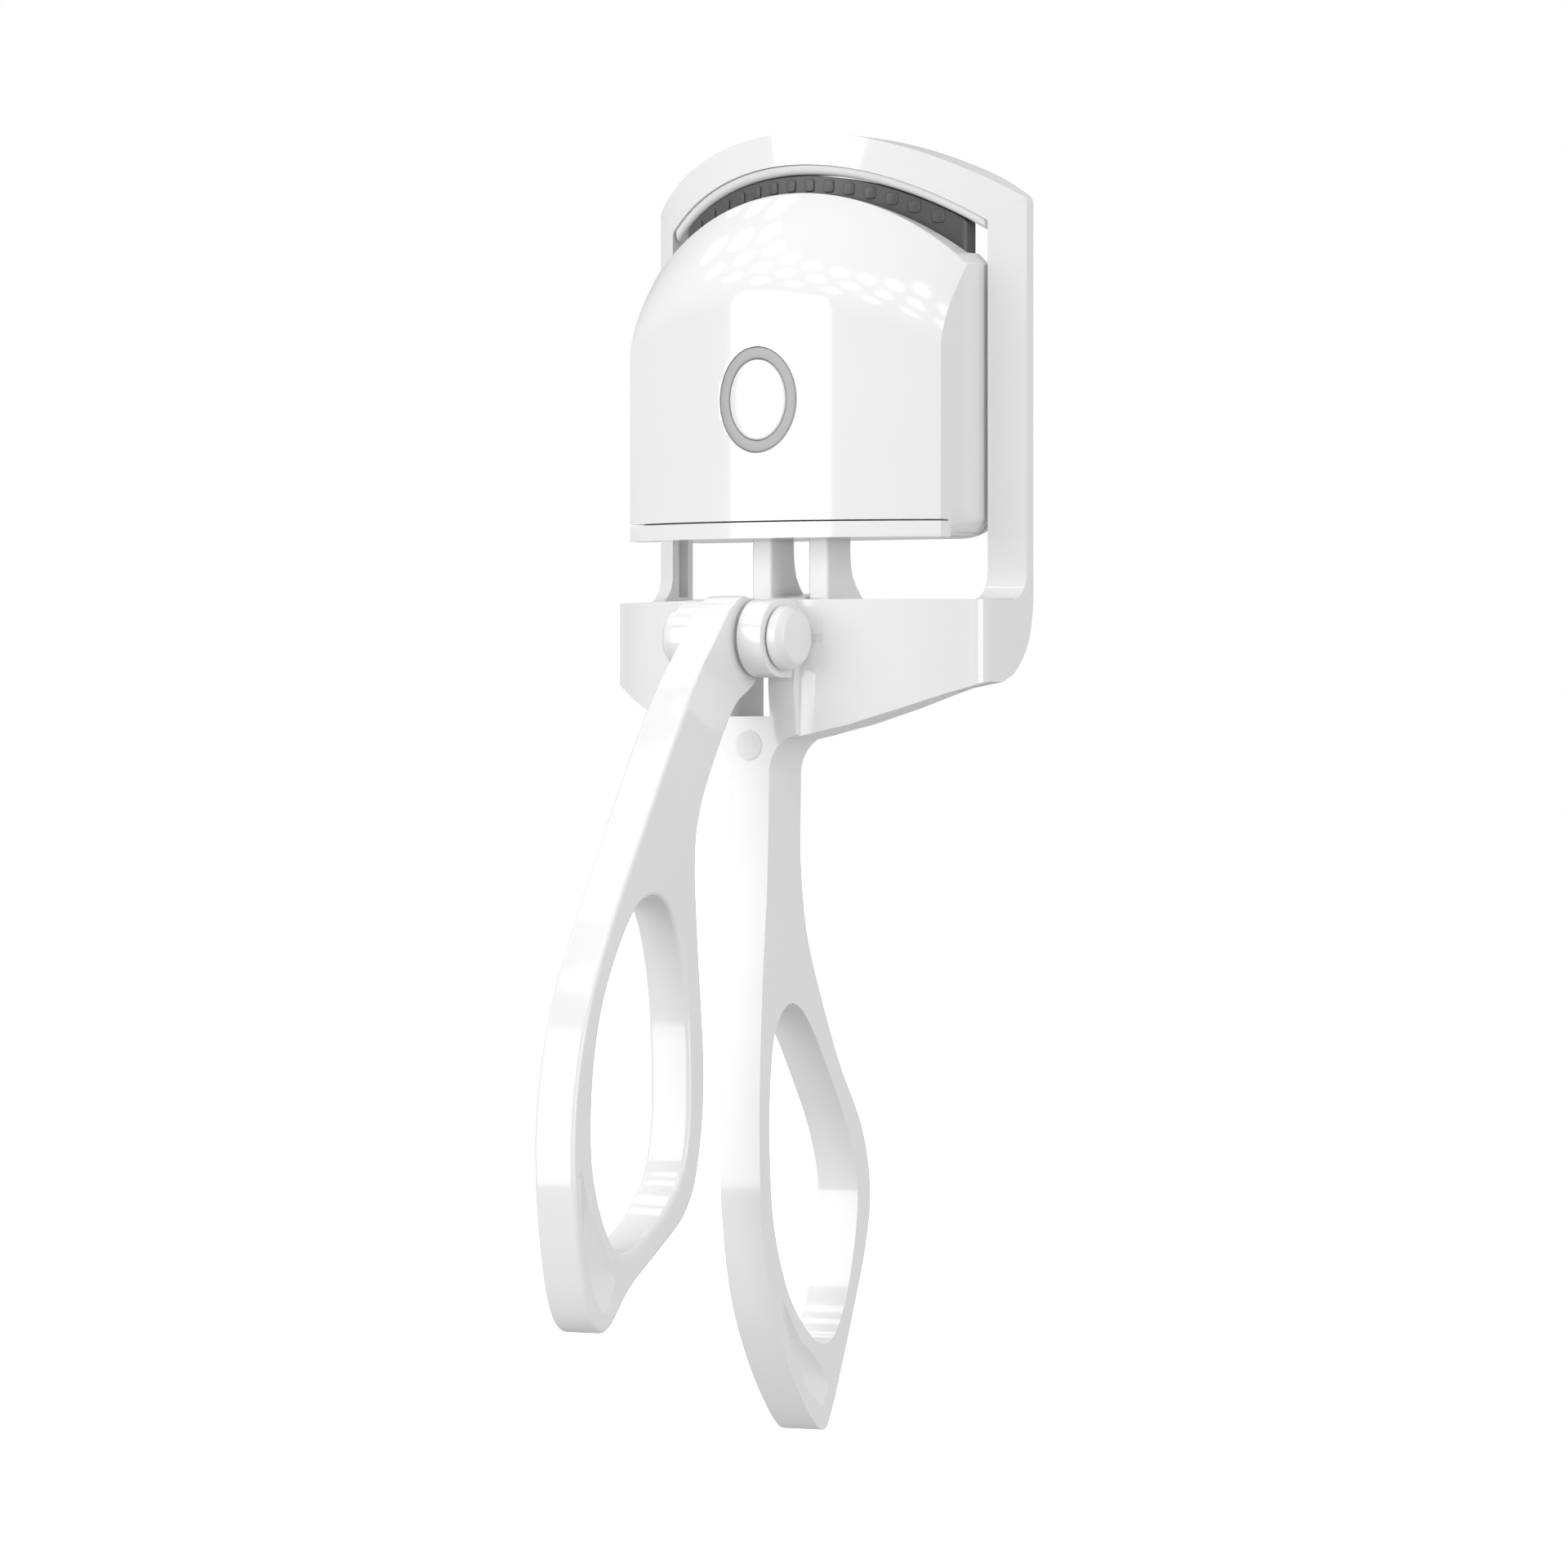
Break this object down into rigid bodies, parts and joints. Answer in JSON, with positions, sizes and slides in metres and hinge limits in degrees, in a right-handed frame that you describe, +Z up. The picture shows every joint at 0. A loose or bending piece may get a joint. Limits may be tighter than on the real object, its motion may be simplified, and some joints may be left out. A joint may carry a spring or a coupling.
{
  "type": "heated eyelash curler",
  "caption": "White heated clamp eyelash curler with a sliding heated comb head, a silicone upper pad and two finger loops.",
  "frame": {"origin": "centre of the whole object's box at rest", "axes": "+X across the jaw, +Y from the button side towards the eye side, +Z up the posts towards the upper jaw"},
  "size_m": [0.0398, 0.0482, 0.1178],
  "materials": {
    "white_gloss": "gloss",
    "white_pin": "gloss",
    "white_silicone": "satin",
    "steel": "satin",
    "comb_grey": "satin",
    "ring_grey": "satin",
    "battery_silver": "satin",
    "board_green": "satin",
    "ceramic": "matte",
    "carrier_grey": "matte",
    "lamp_clear": "gloss"
  },
  "bodies": {
    "frame": {"frame": "white_gloss", "jaw_pad": "white_silicone", "stop_bumper": "white_silicone", "pivot_pin": "white_pin", "pivot_cap": "white_pin"},
    "lever": {"lever_handle": "white_gloss"},
    "head": {"front_shell": "white_gloss", "rear_shell": "white_gloss", "bottom_cover": "white_gloss", "light_ring": "ring_grey", "heating_comb": "comb_grey", "heater_plate": "ceramic", "comb_carrier": "carrier_grey", "battery": "battery_silver", "circuit_board": "board_green", "tact_switch": "comb_grey", "usb_socket": "steel", "left_lamp": "lamp_clear", "right_lamp": "lamp_clear", "slider_fork": "white_gloss", "link_pin": "steel", "left_screw": "steel", "right_screw": "steel"},
    "button": {"power_button": "white_gloss"}
  },
  "joints": [
    {"name": "lever_pivot", "type": "hinge", "parent": "frame", "child": "lever", "pos_m": [0, 0.00509, 0.01285], "axis": [1, 0, 0], "range_deg": [-20, 0]},
    {"name": "head_slide", "type": "slide", "parent": "frame", "child": "head", "axis": [0, 0, 1], "range_m": [-0.0052, 0]},
    {"name": "button_press", "type": "slide", "parent": "head", "child": "button", "axis": [0, 1, 0], "range_m": [0, 0.0003], "stiffness_N_per_m": 3000}
  ],
  "couplings": [
    {"joint": "head_slide", "follows": "lever_pivot", "m_per_rad": 0.014667}
  ]
}
